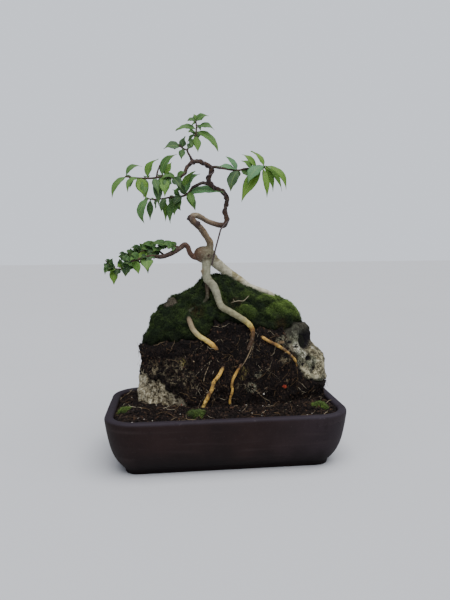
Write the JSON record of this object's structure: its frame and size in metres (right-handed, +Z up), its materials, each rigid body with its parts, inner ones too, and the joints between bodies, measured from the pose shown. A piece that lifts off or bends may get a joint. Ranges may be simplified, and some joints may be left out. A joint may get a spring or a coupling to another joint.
{
  "type": "water jasmine bonsai on a rock in a pot",
  "caption": "Root-over-rock water jasmine bonsai: winding trunk, wired top, leafy sprays and bare roots over a mossy boulder, standing in a rounded rectangular tray pot",
  "frame": {"origin": "centre of the pot's foot, on the surface that the pot stands on", "axes": "+X along the pot to the viewer's right, +Y away from the viewer, +Z up"},
  "size_m": [0.24, 0.132, 0.3504],
  "materials": {
    "pot_clay": "matt unglazed dark brown stoneware, faintly purple, with a paler worn rim",
    "soil_dark": "dark damp crumbly soil with straw bits",
    "rock_porous": "rough pale porous stone with dark pits and lichen",
    "peat_rootlets": "matt black-brown peat laced with pale rootlets",
    "moss_green": "soft short pile, light to dark green",
    "bark_pale": "smooth pale grey-tan bark, golden on the lower roots, dark red-brown above",
    "wire_brown": "dull dark brown anodised wire",
    "leaf_green": "thin satin leaf, green, paler below"
  },
  "bodies": {
    "root": {"pot": "pot_clay", "soil": "soil_dark", "soil_moss_left": "moss_green", "soil_moss_front": "moss_green", "soil_moss_right": "moss_green", "rock": "rock_porous", "peat": "peat_rootlets", "moss": "moss_green", "tree_wood": "bark_pale", "training_wire": "wire_brown", "upper_left_spray": "leaf_green", "second_left_spray": "leaf_green", "right_spray": "leaf_green", "apex_spray": "leaf_green", "low_left_outer_spray": "leaf_green", "low_left_back_spray": "leaf_green", "low_left_front_spray": "leaf_green", "low_left_top_spray": "leaf_green"}
  },
  "joints": []
}
